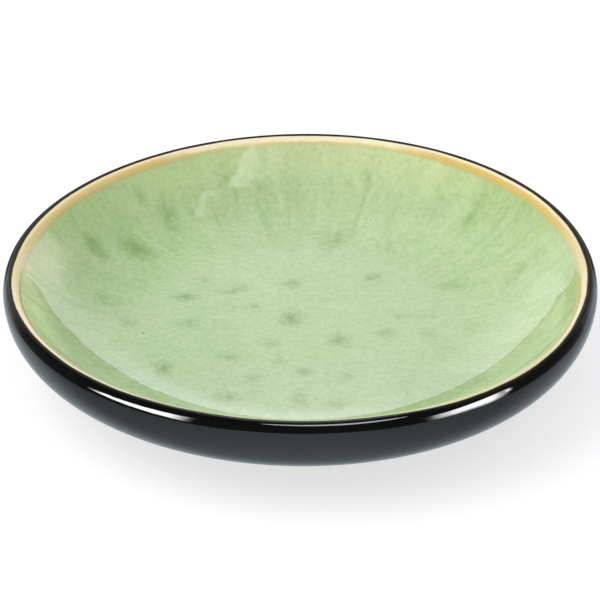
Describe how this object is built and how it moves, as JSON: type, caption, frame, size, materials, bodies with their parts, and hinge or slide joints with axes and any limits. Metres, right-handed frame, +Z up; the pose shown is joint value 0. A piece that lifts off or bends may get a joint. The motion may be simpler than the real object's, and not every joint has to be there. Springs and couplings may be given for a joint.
{
  "type": "soy sauce dish",
  "caption": "Shallow round stoneware sauce dish with a black glazed outside, a honey band on the lip, a mottled green glazed well and a low foot ring.",
  "frame": {"origin": "centre of the foot ring, on the plane that the dish stands on", "axes": "+Z up along the dish's axis of turning; the dish is round, so X and Y are free"},
  "size_m": [0.09, 0.09, 0.015],
  "materials": {
    "bare_clay": "unglazed fired stoneware, fine sandy grain",
    "black_glaze": "glossy black glaze",
    "honey_glaze": "glossy glaze that breaks from cream to honey brown",
    "green_glaze": "glossy pale green glaze with soft darker spots and streaks",
    "base_black_glaze": "glossy black glaze"
  },
  "bodies": {
    "root": {"stoneware_body": "bare_clay", "outer_glaze": "black_glaze", "rim_glaze": "honey_glaze", "inner_glaze": "green_glaze", "base_glaze": "base_black_glaze"}
  },
  "joints": []
}
